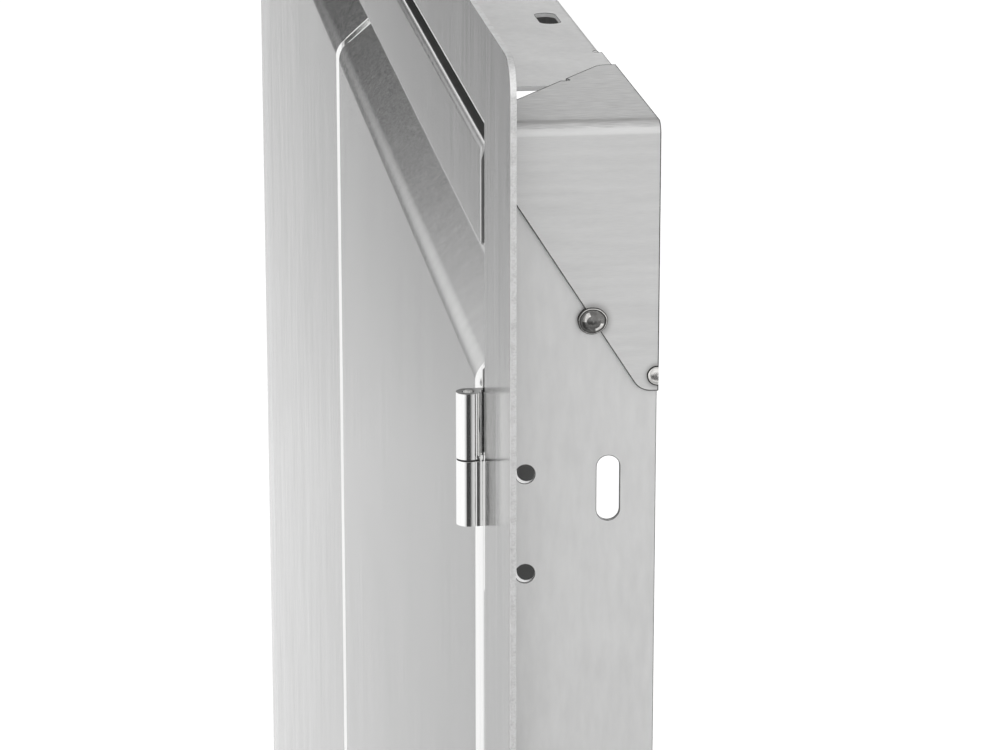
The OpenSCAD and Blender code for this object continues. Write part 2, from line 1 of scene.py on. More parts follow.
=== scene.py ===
import math
import bmesh
import bpy
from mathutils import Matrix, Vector


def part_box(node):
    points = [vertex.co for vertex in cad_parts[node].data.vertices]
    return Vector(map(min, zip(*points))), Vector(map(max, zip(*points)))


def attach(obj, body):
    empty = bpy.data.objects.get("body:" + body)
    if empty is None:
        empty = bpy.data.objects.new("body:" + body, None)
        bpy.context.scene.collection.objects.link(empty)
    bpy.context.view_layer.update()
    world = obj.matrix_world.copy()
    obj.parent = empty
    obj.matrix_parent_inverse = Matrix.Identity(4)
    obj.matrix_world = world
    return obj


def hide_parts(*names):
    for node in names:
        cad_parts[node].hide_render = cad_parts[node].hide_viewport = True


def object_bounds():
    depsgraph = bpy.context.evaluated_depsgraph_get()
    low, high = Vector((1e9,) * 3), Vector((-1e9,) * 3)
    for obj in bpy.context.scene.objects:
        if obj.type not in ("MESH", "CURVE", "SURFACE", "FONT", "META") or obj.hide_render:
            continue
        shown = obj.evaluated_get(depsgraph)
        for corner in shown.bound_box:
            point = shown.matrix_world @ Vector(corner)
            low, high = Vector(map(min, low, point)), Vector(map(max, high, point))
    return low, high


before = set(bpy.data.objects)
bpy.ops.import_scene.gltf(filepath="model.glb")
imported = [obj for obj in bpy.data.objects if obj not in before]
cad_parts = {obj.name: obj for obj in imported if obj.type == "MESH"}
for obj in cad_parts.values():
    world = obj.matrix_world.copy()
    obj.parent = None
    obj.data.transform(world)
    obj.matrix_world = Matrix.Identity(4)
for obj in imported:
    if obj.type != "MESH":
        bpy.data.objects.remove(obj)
solid_low, solid_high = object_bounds()

# Face flange
# One 1.5 mm stainless sheet, cut by laser with round outer corners and bent back into a lip
# all round the opening. It is brushed from top to bottom before it is bent.
mm = 0.001
flange_low, flange_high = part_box("face_flange")
half_w, half_h = flange_high.x, flange_high.z
flange_front, flange_t = flange_low.y, 1.5 * mm
stile, rail, lip_bend, lip_short = 52.7 * mm, 25.2 * mm, 2.0 * mm, 2.0 * mm
open_x, open_z = half_w - stile - lip_bend, half_h - rail - lip_bend


def sheet_metal(name, rows, thickness, body, replaced, looped=False, edge=0.12 * mm):
    """A sheet through rows of points on its outer face, thickened inwards, with its cut edges eased.

    The first row starts on a part of the sheet that looks to the front."""
    count = len(rows[0])
    corners = [p for row in rows for p in row]
    faces = []
    for i in range(len(rows) - 1):
        for j in range(count if looped else count - 1):
            k = (j + 1) % count
            faces.append((i * count + j, i * count + k, (i + 1) * count + k, (i + 1) * count + j))
    mesh = bpy.data.meshes.new(name)
    mesh.from_pydata(corners, [], faces)
    mesh.update()
    piece = bpy.data.objects.new(name, mesh)
    bpy.context.scene.collection.objects.link(piece)
    if mesh.polygons[0].normal.y > 0:
        mesh.flip_normals()
    weld = piece.modifiers.new("joined seams", "WELD")
    weld.merge_threshold = 0.002 * mm
    wall = piece.modifiers.new("sheet thickness", "SOLIDIFY")
    wall.thickness = thickness
    wall.offset = -1
    wall.use_even_offset = True
    wall.use_rim = True
    wall.material_offset_rim = 1
    soften(piece, edge)
    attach(piece, body)
    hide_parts(*replaced)
    return piece


def soften(piece, width, angle=50, smooth=True):
    """Eases the sharp edges of a piece and shades its bends smoothly."""
    ease = piece.modifiers.new("eased edges", "BEVEL")
    ease.width = width
    ease.segments = 2
    ease.limit_method = "ANGLE"
    ease.angle_limit = math.radians(angle)
    ease.miter_outer = "MITER_ARC"
    for face in piece.data.polygons:
        face.use_smooth = smooth
    if smooth:
        even = piece.modifiers.new("even shading", "WEIGHTED_NORMAL")
        even.mode = "FACE_AREA"
        even.weight = 80


def flange_loop(half_across, half_up, corner, depth):
    """The points of one rounded rectangle round the opening, at a given depth."""
    points = []
    for turn in range(4):
        sx, sz = ((1, 1), (-1, 1), (-1, -1), (1, -1))[turn]
        for step in range(9):
            a = math.radians(90 * turn + 90 * step / 8)
            points.append((sx * (half_across - corner) + corner * math.cos(a), depth,
                           sz * (half_up - corner) + corner * math.sin(a)))
    return points


loops = [flange_loop(half_w, half_h, 9 * mm, flange_front),
         flange_loop(half_w - 8 * mm, half_h - 8 * mm, 4 * mm, flange_front),
         flange_loop(open_x + lip_bend + 3 * mm, open_z + lip_bend + 3 * mm, 0.3 * mm, flange_front),
         flange_loop(open_x + lip_bend + 0.1 * mm, open_z + lip_bend + 0.1 * mm, 0.3 * mm, flange_front)]
for step in range(9):
    a = math.radians(90 * step / 8)
    out = lip_bend * (1 - math.sin(a))
    loops.append(flange_loop(open_x + out, open_z + out, 0.25 * mm,
                             flange_front + lip_bend * (1 - math.cos(a))))
loops.append([(x, flange_high.y - (lip_short if abs(z) > open_z - 0.15 * mm else 0), z)
              for x, y, z in flange_loop(open_x, open_z, 0.25 * mm, flange_high.y)])
flange = sheet_metal("flange_sheet", loops, flange_t, "frame", ["face_flange"],
                     looped=True, edge=0.14 * mm)


def shader(name):
    """An empty node material with its shader and a helper that adds and links nodes."""
    material = bpy.data.materials.new(name)
    material.use_nodes = True
    tree = material.node_tree
    surface = tree.nodes["Principled BSDF"]

    def add(kind, inputs=(), **settings):
        node = tree.nodes.new(kind)
        for key, value in settings.items():
            setattr(node, key, value)
        for socket, source in dict(inputs).items():
            if isinstance(source, bpy.types.NodeSocket):
                tree.links.new(source, node.inputs[socket])
            else:
                node.inputs[socket].default_value = source
        return node

    return material, surface, add, tree.links.new


def grained_steel(name, tone, rough, grain, depth, cloud=0.04, fine=1700, streak=0.065):
    """Stainless steel with a brushed grain. Grain gives how stretched the streaks are on X, Y and Z."""
    material, surface, add, link = shader(name)
    place = add("ShaderNodeTexCoord").outputs["Object"]
    along = add("ShaderNodeMapping", {"Vector": place, "Scale": grain})
    streaks = add("ShaderNodeTexNoise", {"Vector": along.outputs[0], "Scale": fine, "Detail": 4,
                                         "Roughness": 0.6})
    broad = add("ShaderNodeTexNoise", {"Vector": along.outputs[0], "Scale": fine / 9, "Detail": 3})
    clouds = add("ShaderNodeTexNoise", {"Vector": place, "Scale": 14, "Detail": 4, "Roughness": 0.55})
    both = add("ShaderNodeMath", {0: streaks.outputs["Fac"], 1: broad.outputs["Fac"]}, operation="ADD")
    shade = add("ShaderNodeMapRange", {"Value": both.outputs[0], "From Min": 0.6, "From Max": 1.4,
                                       "To Min": 1 - streak, "To Max": 1 + streak})
    patch = add("ShaderNodeMapRange", {"Value": clouds.outputs["Fac"], "From Min": 0.3, "From Max": 0.7,
                                       "To Min": 1 - cloud, "To Max": 1 + cloud})
    level = add("ShaderNodeMath", {0: shade.outputs[0], 1: patch.outputs[0]}, operation="MULTIPLY")
    colour = add("ShaderNodeMix", {0: level.outputs[0], 6: (0, 0, 0, 1),
                                   7: (tone, tone, tone * 0.995, 1)}, data_type="RGBA")
    colour.clamp_factor = False
    link(colour.outputs[2], surface.inputs["Base Color"])
    polish = add("ShaderNodeMapRange", {"Value": streaks.outputs["Fac"], "From Min": 0.3,
                                        "From Max": 0.7, "To Min": rough - 0.05, "To Max": rough + 0.06})
    link(polish.outputs[0], surface.inputs["Roughness"])
    relief = add("ShaderNodeBump", {"Height": both.outputs[0], "Strength": depth, "Distance": 0.00002})
    link(relief.outputs[0], surface.inputs["Normal"])
    surface.inputs["Metallic"].default_value = 1
    return material


upright_grain = grained_steel("steel brushed upright", 0.70, 0.17, (1, 1, 0.012), 0.15)
cut_edge = grained_steel("laser cut edge", 0.95, 0.5, (1, 0.6, 1), 0.5,
                         cloud=0.04, fine=2800, streak=0.22)
# The back of the flange sheet and its lip take a dark finish: unbrushed, and darkened as painted shade
# inside the frame.
unbrushed_back_painted_shade = grained_steel("unbrushed back of the sheet with painted shade", 0.3, 0.6, (1, 1, 0.25), 0.10,
                          cloud=0.2, fine=420)
for finish in (upright_grain, cut_edge, unbrushed_back_painted_shade):
    flange.data.materials.append(finish)
flange.modifiers["sheet thickness"].material_offset = 2
# Painted shade: the far side of the lip bend and the lip take the dark back finish.
for face in flange.data.polygons:
    if face.center.y > flange_front + 0.6 * mm:
        face.material_index = 2

# Side, top and bottom walls
# Plain sheet angles welded inside the flange, 37.5 mm deep, with slots for the fixing screws
# and round holes for a screwdriver beside each hinge. Their mill finish is matt, with hardly a grain.
mill_finish = grained_steel("steel with mill finish", 0.92, 0.6, (1, 1, 0.25), 0.10,
                            cloud=0.03, fine=420)
side_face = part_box("wall_right")[1].x
top_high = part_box("wall_top")[1]


def marker(finish):
    """Helpers that mark places on a finish: the sheet's own X, Y and Z, sums on them, and a tone."""
    tree = finish.node_tree
    surface = tree.nodes["Principled BSDF"]
    place = tree.nodes.new("ShaderNodeTexCoord").outputs["Object"]
    parts = tree.nodes.new("ShaderNodeSeparateXYZ")
    tree.links.new(place, parts.inputs[0])

    def step(operation, *sources):
        node = tree.nodes.new("ShaderNodeMath")
        node.operation = operation
        for k, source in enumerate(sources):
            if isinstance(source, bpy.types.NodeSocket):
                tree.links.new(source, node.inputs[k])
            else:
                node.inputs[k].default_value = source
        return node.outputs[0]

    def tone(share, colour, clamp=True):
        mix = tree.nodes.new("ShaderNodeMix")
        mix.data_type = "RGBA"
        mix.clamp_factor = clamp
        tree.links.new(share, mix.inputs[0])
        tree.links.new(surface.inputs["Base Color"].links[0].from_socket, mix.inputs[6])
        mix.inputs[7].default_value = (*colour, 1)
        tree.links.new(mix.outputs[2], surface.inputs["Base Color"])

    return tree, place, [parts.outputs[axis] for axis in "XYZ"], step, tone


def wall_painted_light_and_shade(finish):
    """Painted light and shade on the walls: the end faces of the top and bottom walls are lightened to
    full white, the inner side is darkened, and the inner side of the rear return in the upper half
    darker still, both painted shade.
    """
    _, _, (x, y, z), step, tone = marker(finish)
    across, height = step("ABSOLUTE", x), step("ABSOLUTE", z)
    # Painted light: the end faces of the top and bottom walls are lightened to full white.
    tone(step("COMPARE", across, top_high.x, 0.1 * mm), (1.0, 1.0, 1.0))
    within = step("MULTIPLY", step("LESS_THAN", across, side_face - 1.1 * mm),
                  step("LESS_THAN", height, top_high.z - 1.1 * mm))
    painted_shade_inside = step("MULTIPLY", within, step("LESS_THAN", y, top_high.y - 0.3 * mm))
    # Painted shade: the inner side of the walls is darkened.
    tone(painted_shade_inside, (0.45, 0.45, 0.45))
    # Painted shade: the inner side of the rear return in the upper half is darkened further.
    at_return = step("COMPARE", y, top_high.y - 1.0 * mm, 0.6 * mm)
    upper = step("GREATER_THAN", z, 0.0)
    tone(step("MULTIPLY", painted_shade_inside, step("MULTIPLY", at_return, upper)), (0.1, 0.1, 0.1))


wall_painted_light_and_shade(mill_finish)


def painted_shade_finish():
    """A near-black finish for thin dark lines along cut edges: painted shade."""
    material, surface, add, link = shader("scorched edge")
    place = add("ShaderNodeTexCoord").outputs["Object"]
    patchy = add("ShaderNodeTexNoise", {"Vector": place, "Scale": 700, "Detail": 3})
    colour = add("ShaderNodeValToRGB", {"Fac": patchy.outputs["Fac"]})
    colour.color_ramp.elements[0].position = 0.35
    colour.color_ramp.elements[0].color = (0.05, 0.05, 0.05, 1)
    colour.color_ramp.elements[1].position = 0.7
    colour.color_ramp.elements[1].color = (0.2, 0.2, 0.2, 1)
    link(colour.outputs["Color"], surface.inputs["Base Color"])
    surface.inputs["Metallic"].default_value = 1
    surface.inputs["Roughness"].default_value = 0.5
    return material


painted_shade = painted_shade_finish()


def painted_shade_lines(node, body, thick):
    """Thin near-black wires along every sharp edge of a sheet, except the sheared ends of the top and
    bottom walls and where it meets the flange: painted shade.
    """
    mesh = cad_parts[node].data
    joined, spots = {}, []
    for vertex in mesh.vertices:
        place = tuple(round(v, 5) for v in vertex.co)
        if place not in joined:
            joined[place] = len(spots)
            spots.append(vertex.co.copy())
    same = {v.index: joined[tuple(round(c, 5) for c in v.co)] for v in mesh.vertices}
    sides = {}
    for face in mesh.polygons:
        loop = [same[i] for i in face.vertices]
        for a, b in zip(loop, loop[1:] + loop[:1]):
            if a != b:
                sides.setdefault((min(a, b), max(a, b)), []).append(face.normal)
    corners, faces = [], []
    for (a, b), normals in sides.items():
        if len(normals) != 2 or normals[0].dot(normals[1]) > 0.6:
            continue
        start, end = spots[a], spots[b]
        at_end = min(abs(start.x), abs(end.x)) > top_high.x - 0.2 * mm
        sheared = at_end and node in ("wall_top", "wall_bottom")
        at_flange = max(start.y, end.y) < 1 * mm
        if sheared or at_flange:
            continue
        out, side = normals[0].normalized(), normals[1].normalized()
        first = len(corners)
        for spot in (start, end):
            for away in (out, side, -out, -side):
                corners.append(spot + away * thick)
        for k in range(4):
            m = (k + 1) % 4
            faces.append((first + k, first + m, first + 4 + m, first + 4 + k))
    wire = bpy.data.meshes.new(node + "_painted_shade_line")
    wire.from_pydata(corners, [], faces)
    wire.update()
    piece = bpy.data.objects.new(node + "_painted_shade_line", wire)
    bpy.context.scene.collection.objects.link(piece)
    wire.materials.append(painted_shade)
    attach(piece, body)


def dress(node, finish, edge=0.12 * mm, angle=50, dark_edges=False):
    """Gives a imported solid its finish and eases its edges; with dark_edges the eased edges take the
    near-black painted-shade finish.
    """
    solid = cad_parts[node]
    solid.data.materials.clear()
    solid.data.materials.append(finish)
    weld = solid.modifiers.new("joined faces", "WELD")
    weld.merge_threshold = 0.002 * mm
    flat = solid.modifiers.new("flat faces", "DECIMATE")
    flat.decimate_type = "DISSOLVE"
    flat.angle_limit = math.radians(0.5)
    soften(solid, edge, angle, smooth=not dark_edges)
    if dark_edges:
        solid.data.materials.append(painted_shade)
        solid.modifiers["eased edges"].material = 1
    return solid


# The walls' eased edges and the wires along them are near-black: painted shade along the edges.
for wall in ("wall_right", "wall_left", "wall_top", "wall_bottom"):
    dress(wall, mill_finish, 0.15 * mm, dark_edges=True)
    painted_shade_lines(wall, "frame", 0.07 * mm)

# Corner brackets
# Four bent plates, 0.9 mm thick and brushed from front to back, laid over the walls' corners.
# Each leg has a slanting edge with a half-round notch for its weld.
bracket_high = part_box("corner_bracket_top_right")[1]
leg_face = bracket_high.x
dome_y, dome_z = 21.3 * mm, bracket_high.z - 49.4 * mm
tack_y, tack_z = 37.7 * mm, bracket_high.z - 63.9 * mm
sideways_grain = grained_steel("steel brushed front to back", 0.88, 0.58, (1, 0.09, 1), 0.3, cloud=0.025,
                               fine=4200, streak=0.06)


def bracket_heat_tint_and_fold_shade(finish):
    """Soft heat rings round the welds, painted shade in bands beside the fold on the top and along the
    leg just below it, and a rougher grain on top.
    """
    tree, place, (x, y, z), step, tone = marker(finish)

    def times(*sources):
        product = sources[0]
        for source in sources[1:]:
            product = step("MULTIPLY", product, source)
        return product

    def ring(value, reach, soft):
        off = step("DIVIDE", step("SUBTRACT", value, reach * mm), soft * mm)
        return step("EXPONENT", times(off, off, -1.0))

    across, height = step("ABSOLUTE", x), step("ABSOLUTE", z)
    on_leg = step("GREATER_THAN", across, leg_face - 1.2 * mm)
    share = 0.0
    for bead_y, bead_z, reach, soft in ((dome_y, dome_z, 3.5, 1.1), (tack_y, tack_z, 2.5, 0.8)):
        back, up = step("SUBTRACT", y, bead_y), step("SUBTRACT", height, bead_z)
        away = step("SQRT", step("ADD", times(back, back), times(up, up)))
        share = step("ADD", times(ring(away, reach, soft), on_leg, 0.4), share)
    # Painted shade: darker bands beside the fold on the top, and one along the leg just below the fold.
    from_fold = step("SUBTRACT", leg_face, across)
    on_top = step("GREATER_THAN", height, bracket_high.z - 1.2 * mm)
    for reach, soft, depth in ((3.6, 1.5, 0.26), (5.2, 0.25, 0.2), (5.6, 3.2, 0.08)):
        share = step("ADD", times(ring(from_fold, reach, soft), on_top, depth), share)
    below_fold = step("SUBTRACT", bracket_high.z, height)
    share = step("ADD", times(ring(below_fold, 3.0, 0.15), on_leg, 0.05), share)
    stretch = tree.nodes.new("ShaderNodeMapping")
    stretch.inputs["Scale"].default_value = (1, 0.06, 1)
    tree.links.new(place, stretch.inputs[0])
    scratches = tree.nodes.new("ShaderNodeTexNoise")
    scratches.inputs["Scale"].default_value = 3600
    scratches.inputs["Detail"].default_value = 3
    tree.links.new(stretch.outputs[0], scratches.inputs["Vector"])
    rough_top = times(step("SUBTRACT", scratches.outputs["Fac"], 0.42), on_top, 0.8)
    tone(step("ADD", rough_top, share), (0.16, 0.15, 0.14), clamp=False)


bracket_heat_tint_and_fold_shade(sideways_grain)
# The brackets' eased edges and the wires along them are near-black: painted shade along the edges and
# the seam.
for up in ("top", "bottom"):
    for hand in ("right", "left"):
        dress("corner_bracket_%s_%s" % (up, hand), sideways_grain, 0.16 * mm, dark_edges=True)
        painted_shade_lines("corner_bracket_%s_%s" % (up, hand), "frame", 0.08 * mm)

# Corner welds
# Beads of weld metal that hold the brackets: a round dome over the notch of the side leg, and
# a smaller bead on its rear tip. The heat has coloured them and the steel round them grey brown.
# On the dome, the dark oxide also stands in for its dark reflection as painted reflection, and
# its stretches of bright weld metal are painted highlights.


def weld_colours(name, dark, light, rough):
    """Weld metal that has run smooth, with faint ripples and a thin oxide film."""
    material, surface, add, link = shader(name)
    place = add("ShaderNodeTexCoord").outputs["Object"]
    film = add("ShaderNodeTexNoise", {"Vector": place, "Scale": 650, "Detail": 4, "Roughness": 0.6})
    colour = add("ShaderNodeValToRGB", {"Fac": film.outputs["Fac"]})
    colour.color_ramp.elements[0].position = 0.3
    colour.color_ramp.elements[0].color = (dark, dark * 0.98, dark * 0.95, 1)
    colour.color_ramp.elements[1].position = 0.7
    colour.color_ramp.elements[1].color = (light, light * 0.99, light * 0.97, 1)
    link(colour.outputs["Color"], surface.inputs["Base Color"])
    polish = add("ShaderNodeMapRange", {"Value": film.outputs["Fac"], "To Min": rough - 0.04,
                                        "To Max": rough + 0.06})
    link(polish.outputs[0], surface.inputs["Roughness"])
    relief = add("ShaderNodeBump", {"Height": film.outputs["Fac"], "Strength": 0.25,
                                    "Distance": 0.00005})
    link(relief.outputs[0], surface.inputs["Normal"])
    surface.inputs["Metallic"].default_value = 1
    return material


weld_metal = weld_colours("bright weld metal", 0.75, 0.92, 0.22)
oxide_and_painted_reflection = weld_colours("oxide film and painted dark reflection on a weld", 0.14, 0.24, 0.25)
burnt_rim = weld_colours("burnt rim of a weld", 0.02, 0.07, 0.4)


def bead(name, centre, outline, bright, rear_edge=None):
    """A bead turned from (radius, height, finish) steps on a face that looks along X.

    Bright gives the (lowest radius, highest radius, from, to) stretches, in mm and degrees, that take
    the bright weld metal as painted highlights."""
    across = math.copysign(1, centre.x)
    upward = math.copysign(1, centre.z)
    count = 72
    corners = []
    for radius, rise, finish in outline:
        for step in range(count):
            a = 2 * math.pi * step / count
            waver = 1 + 0.012 * math.sin(3 * a + 1) + 0.008 * math.sin(7 * a)
            reach = radius * mm * waver
            depth = centre.y + 1.08 * reach * math.cos(a)
            if rear_edge is not None:
                depth = min(depth, rear_edge)
            corners.append((centre.x + across * rise * mm, depth,
                            centre.z + upward * 0.98 * reach * math.sin(a)))
    faces, finishes = [], []
    for i in range(len(outline) - 1):
        middle = (outline[i][0] + outline[i + 1][0]) / 2
        for j in range(count):
            k = (j + 1) % count
            faces.append((i * count + j, i * count + k, (i + 1) * count + k, (i + 1) * count + j))
            turn = 360 * (j + 0.5) / count
            # Faces in the listed stretches take the bright weld metal: painted highlights.
            in_painted_highlight = any(low <= middle <= high and start <= turn <= end
                        for low, high, start, end in bright)
            finishes.append(0 if in_painted_highlight else outline[i + 1][2])
    faces.append(tuple(range(count)))
    faces.append(tuple(reversed(range((len(outline) - 1) * count, len(outline) * count))))
    finishes += [2, 1]
    mesh = bpy.data.meshes.new(name)
    mesh.from_pydata(corners, [], faces)
    mesh.update()
    if mesh.polygons[-1].normal.x * across < 0:
        mesh.flip_normals()
    piece = bpy.data.objects.new(name, mesh)
    bpy.context.scene.collection.objects.link(piece)
    for metal in (weld_metal, oxide_and_painted_reflection, burnt_rim):
        mesh.materials.append(metal)
    for face, finish in zip(mesh.polygons, finishes):
        face.use_smooth = True
        face.material_index = finish
    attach(piece, "frame")
    return piece


# Steps of finish 1 take the dark oxide, which also paints the dome's dark reflection.
dome = [(3.4, -0.85, 2), (3.5, 0.02, 2), (3.42, 0.2, 2), (3.25, 0.36, 1), (3.12, 0.48, 1),
        (3.0, 0.5, 1), (2.85, 0.44, 2), (2.7, 0.42, 1), (2.45, 0.62, 1), (2.15, 0.86, 1),
        (1.85, 1.04, 1), (1.5, 1.2, 1), (1.1, 1.31, 1), (0.7, 1.37, 1), (0.3, 1.4, 1),
        (0.08, 1.405, 1)]
dome_painted_highlights = [(1.4, 2.3, 112, 178), (2.0, 2.75, 285, 345), (3.1, 3.2, 0, 360)]
tack = [(2.5, -0.7, 2), (2.6, 0.02, 2), (2.48, 0.14, 2), (2.3, 0.2, 2), (2.15, 0.34, 0), (1.8, 0.5, 0),
        (1.3, 0.6, 0), (0.8, 0.64, 0), (0.3, 0.655, 0), (0.08, 0.66, 0)]
for side, hand in ((1, "right"), (-1, "left")):
    for rise, up in ((1, "top"), (-1, "bottom")):
        bead("weld_dome_%s_%s" % (up, hand),
                          Vector((side * leg_face, dome_y, rise * dome_z)), dome, dome_painted_highlights)
        bead("weld_tack_%s_%s" % (up, hand),
                          Vector((side * leg_face, tack_y, rise * tack_z)), tack, [], bracket_high.y)
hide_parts("corner_welds")

# Screwdriver holes
# Each side wall has two round holes beside each hinge, cut through the sheet. Their lower front
# rims were eased by hand, widest at the lower front, and the eased steel is given a full white tone, a
# painted highlight that shows as a bright crescent on each.
hole_y, hole_r = 4.75 * mm, 2.5 * mm
upper_hole, lower_hole = bracket_high.z - 88.4 * mm, bracket_high.z - 114.3 * mm
eased_way, eased_width = math.radians(228), 0.62 * mm
# Full white steel tone: painted highlight on the eased rims.
eased_rim_painted_highlight = grained_steel("hand eased rim with painted highlight", 1.0, 0.5, (1, 1, 1), 0.1, cloud=0.02, fine=900, streak=0.03)


def turned(name, rows):
    """A closed ring of steel through loops of points that all have the same count."""
    count = len(rows[0])
    faces = []
    for i in range(len(rows)):
        far = (i + 1) % len(rows)
        for j in range(count):
            k = (j + 1) % count
            faces.append((i * count + j, i * count + k, far * count + k, far * count + j))
    mesh = bpy.data.meshes.new(name)
    mesh.from_pydata([p for row in rows for p in row], [], faces)
    mesh.update()
    piece = bpy.data.objects.new(name, mesh)
    bpy.context.scene.collection.objects.link(piece)
    mesh.materials.append(eased_rim_painted_highlight)
    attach(piece, "frame")


for side, hand in ((1, "right"), (-1, "left")):
    for rise, up in ((1, "top"), (-1, "bottom")):
        for place, height in (("upper", upper_hole), ("lower", lower_hole)):
            rows = []
            for inner, out in ((0.0, -0.6), (0.0, -0.1), (1.0, -0.25), (1.0, -0.6)):
                row = []
                for k in range(48):
                    t = 2 * math.pi * k / 48
                    wide = max(math.cos(t - eased_way), 0) ** 0.8 * eased_width
                    reach = hole_r - 0.02 * mm - inner * (wide + 0.02 * mm)
                    row.append((side * (side_face + out * mm), hole_y + reach * math.cos(t),
                                rise * (height + reach * math.sin(t))))
                rows.append(row)
            turned("eased_rim_%s_%s_%s" % (place, up, hand), rows)

# Door skins
# Each door is one 1.2 mm brushed sheet, folded back at its sides and bottom, with a slope at the
# top that runs back to the finger recess. The folds along the edges take a lighter tone, a painted
# highlight.
door_low, door_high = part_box("door_skin_right")
door_face, door_back = door_low.y, door_high.y
hinge_edge, meeting_edge = door_high.x, door_low.x
pan_low, pan_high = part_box("handle_pan_right")
door_bottom, door_top = door_low.z, pan_high.z
fold_r, door_t, recess_back = 3.0 * mm, 1.2 * mm, door_back - 1.3 * mm
slope_start = pan_low.z - 32.8 * mm
slope_r, slope_rise = 8.0 * mm, math.radians(41)


def door_line():
    """The outer line of the door above its face: fold, slope, recess floor and top lip."""
    line = []
    turn = math.pi / 2 - slope_rise
    half = slope_r * math.tan(turn / 2)
    for step in range(9):
        a = turn * step / 8
        line.append((door_face + slope_r * (1 - math.cos(a)),
                     slope_start - half + slope_r * math.sin(a)))
    floor, floor_r = door_back - door_t, 2.5 * mm
    lip_start, lip_r, lip_deep = door_top - 4.4 * mm, 2 * mm, 6.5 * mm
    back_half = floor_r * math.tan(turn / 2)
    top_of_slope = slope_start + (floor - door_face) * math.tan(slope_rise)
    for step in range(7):
        a = turn * (1 - step / 6)
        line.append((floor - floor_r * (1 - math.cos(a)),
                     top_of_slope + back_half - floor_r * math.sin(a)))
    line.append((floor, lip_start))
    for step in range(1, 6):
        a = math.radians(90 * step / 5)
        line.append((floor - lip_r * (1 - math.cos(a)), lip_start + lip_r * math.sin(a)))
    line.append((floor - lip_deep, lip_start + lip_r))
    return line


def height_at(depth, line):
    """How high the door's outer line is where it reaches a given depth."""
    for (y0, z0), (y1, z1) in zip(line, line[1:]):
        if y0 <= depth <= y1 and y1 > y0:
            return z0 + (z1 - z0) * (depth - y0) / (y1 - y0)
    return line[0][1]


def edge_inset(depth):
    """How far the folded edge lies inside the door's width at a given depth."""
    sunk = min(max((depth - door_face) / fold_r, 0), 1)
    return fold_r * (1 - math.sqrt(1 - (1 - sunk) ** 2))


across_door = [0, 0.001] + [i / 12 for i in range(1, 12)] + [0.999, 1]
door_grain = grained_steel("door steel brushed upright", 0.6, 0.17, (1, 1, 0.012), 0.15)
fold_painted_highlight = grained_steel("fold lightened as painted highlight", 0.9, 0.17, (1, 1, 0.012), 0.15)


def folded_door(hand, side):
    """One door in two meshes: its face with the slope and recess, and its edges turned back."""
    line = door_line()
    rows = []
    for depth, height in line:
        inset = edge_inset(depth)
        inner, outer = meeting_edge + inset, hinge_edge - inset
        rows.append([(side * (inner + (outer - inner) * share), depth, height) for share in across_door])
    start = line[0][1]
    inner, outer = meeting_edge + fold_r, hinge_edge - fold_r
    bands = 24
    face_rows = []
    for k in range(bands + 1):
        z = door_bottom + fold_r + (start - door_bottom - fold_r) * k / bands
        face_rows.append([(side * (inner + (outer - inner) * share), door_face, z)
                          for share in across_door])
    upper = sheet_metal("door_skin_" + hand, face_rows[:-1] + rows, door_t,
                        hand + "_leaf", ["door_skin_" + hand])
    tray = []
    arc = [math.radians(90 * s / 8) for s in range(9)]
    steps = [(fold_r * (1 - math.sin(a)), door_face + fold_r * (1 - math.cos(a))) for a in arc]
    back_r, turned_in = 1.6 * mm, 11 * mm
    floor_start = line[15][1]
    steps.append((0, door_back - back_r))
    for s in range(1, 6):
        a = math.radians(90 * s / 5)
        steps.append((back_r * (1 - math.cos(a)), door_back - back_r * (1 - math.sin(a))))
    steps.append((turned_in, door_back))
    for inset, depth in steps:
        reach = height_at(min(depth, recess_back), line)
        top = min(reach, floor_start) if depth > door_face else start
        left, right, low = meeting_edge + inset, hinge_edge - inset, door_bottom + inset
        loop = []
        for i in range(13):
            loop.append((side * left, depth, top + (low - top) * i / 12))
        for i in range(1, 12):
            loop.append((side * (left + (right - left) * i / 12), depth, low))
        for i in range(13):
            loop.append((side * right, depth, low + (top - low) * i / 12))
        tray.append(loop)
    rim = sheet_metal("door_edges_" + hand, tray, door_t, hand + "_leaf", [])
    # The turned back edges take the lighter fold tone: painted highlight.
    for piece, finish in ((upper, door_grain), (rim, fold_painted_highlight)):
        piece.data.materials.append(finish)
        piece.data.materials.append(cut_edge)


for hand, side in (("right", 1), ("left", -1)):
    folded_door(hand, side)

# Handle plates
# A separate pan, folded from brushed sheet, bridges the front of each finger recess. Its top
# and both ends are turned back to the recess floor, and its lower edge is hemmed flat.
pan_face, pan_bottom = pan_low.y, pan_low.z
pan_r, pan_top_r, hem, pan_t = 0.35 * mm, 2.0 * mm, 0.6 * mm, 0.55 * mm


